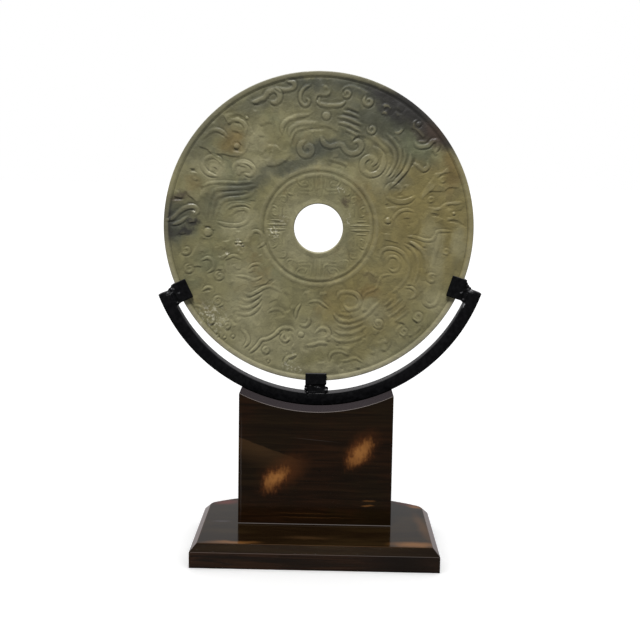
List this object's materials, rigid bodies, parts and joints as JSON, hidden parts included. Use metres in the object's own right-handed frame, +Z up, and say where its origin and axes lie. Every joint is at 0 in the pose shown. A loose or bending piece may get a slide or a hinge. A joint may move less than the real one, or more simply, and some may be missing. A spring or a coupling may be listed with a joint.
{
  "type": "jade bi disc on a stand",
  "caption": "Round carved jade bi disc with a central hole, held upright by a steel arc cradle with three clips on a wooden block and bow-backed base.",
  "frame": {"origin": "the middle of the base's underside, on the surface that the stand rests on", "axes": "+Z up, -Y the way the carved face looks, +X to the right of someone who faces the carving"},
  "size_m": [0.3141, 0.1408, 0.4575],
  "materials": {
    "jade": "polished olive-green jade with grey, brown and charcoal clouding, worn relief",
    "black_steel": "black satin paint over bent and welded square bar",
    "upright_wood": "very dark brown gloss lacquer with amber figure",
    "base_wood": "dark brown gloss lacquer with amber and red streaks at the edges"
  },
  "bodies": {
    "root": {"jade_disc": "jade", "cradle_bar": "black_steel", "left_clip": "black_steel", "bottom_clip": "black_steel", "right_clip": "black_steel", "upright_block": "upright_wood", "base_board": "base_wood"}
  },
  "joints": []
}
